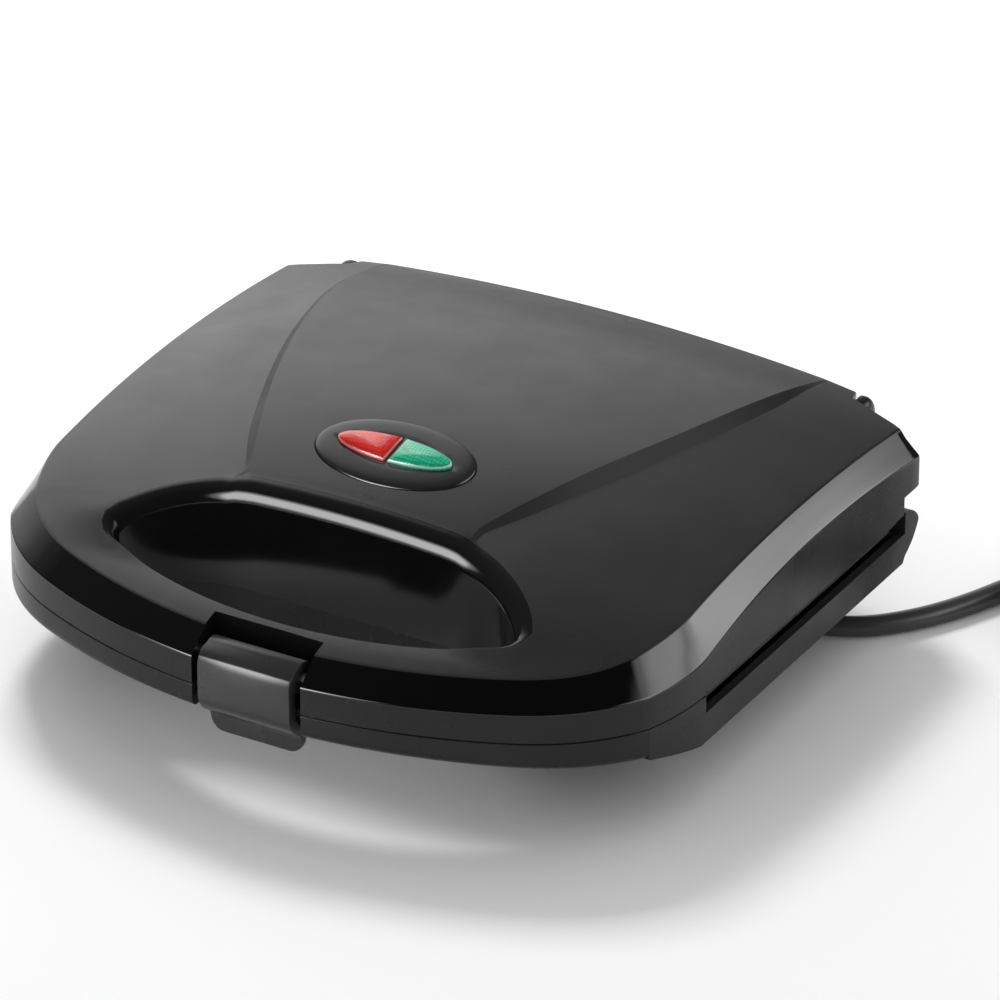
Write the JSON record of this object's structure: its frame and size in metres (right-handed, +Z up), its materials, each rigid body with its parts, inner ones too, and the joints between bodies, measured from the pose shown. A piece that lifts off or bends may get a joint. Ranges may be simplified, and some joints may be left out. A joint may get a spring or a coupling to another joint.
{
  "type": "sandwich toaster",
  "caption": "Countertop sandwich toaster with a domed hinged lid, raised centre panel, pierced front handle, hooked latch clip, indicator lamps and a coiled power cord.",
  "frame": {"origin": "on the table under the middle of the body, cord left out", "axes": "+X to the user's right, +Y towards the hinge, +Z up"},
  "size_m": [0.3463, 0.2755, 0.0803],
  "materials": {
    "housing_plastic": "high gloss black on the bands, satin gloss on top",
    "inner_black_plastic": "satin",
    "latch_plastic": "satin gloss",
    "bezel_plastic": "gloss",
    "red_lens": "clear moulded plastic with a faceted back",
    "green_lens": "clear moulded plastic with a faceted back",
    "nonstick_plate": "satin non-stick coating on die-cast aluminium",
    "zinc_steel": "zinc plated",
    "tinned_sheet": "satin sheet",
    "element_steel": "dull, heat darkened",
    "ceramic_body": "matt ceramic",
    "white_nylon": "satin",
    "lamp_glass": "clear",
    "red_wire": "satin silicone",
    "foot_rubber": "matt",
    "cord_rubber": "satin",
    "tie_plastic": "satin",
    "plug_brass": "nickel plated"
  },
  "bodies": {
    "base": {"base_shell": "housing_plastic", "hinge_pins": "zinc_steel", "lower_cooking_plate": "nonstick_plate", "lower_plate_screws": "zinc_steel", "lower_reflector": "tinned_sheet", "lower_heating_element": "element_steel", "thermostat": "ceramic_body", "thermal_fuse": "zinc_steel", "terminal_block": "white_nylon", "base_wiring": "red_wire", "rubber_feet": "foot_rubber", "cord_strain_relief": "cord_rubber", "power_cord": "cord_rubber", "cord_coil": "cord_rubber", "cord_tie": "tie_plastic", "plug_body": "cord_rubber", "plug_pins": "plug_brass"},
    "lid": {"lid_shell": "housing_plastic", "hinge_barrels": "inner_black_plastic", "upper_cooking_plate": "nonstick_plate", "upper_plate_screws": "zinc_steel", "upper_reflector": "tinned_sheet", "upper_heating_element": "element_steel", "indicator_bezel": "bezel_plastic", "red_lens": "red_lens", "green_lens": "green_lens", "lamp_holder": "white_nylon", "neon_lamps": "lamp_glass", "lid_wiring": "red_wire", "latch_pin": "zinc_steel"},
    "latch": {"latch_clip": "latch_plastic"}
  },
  "joints": [
    {"name": "lid_hinge", "type": "hinge", "parent": "base", "child": "lid", "pos_m": [0, 0.1005, 0.057], "axis": [-1, 0, 0], "range_deg": [0, 100]},
    {"name": "latch_pivot", "type": "hinge", "parent": "lid", "child": "latch", "pos_m": [0, -0.099, 0.0446], "axis": [-1, 0, 0], "range_deg": [0, 50]}
  ]
}
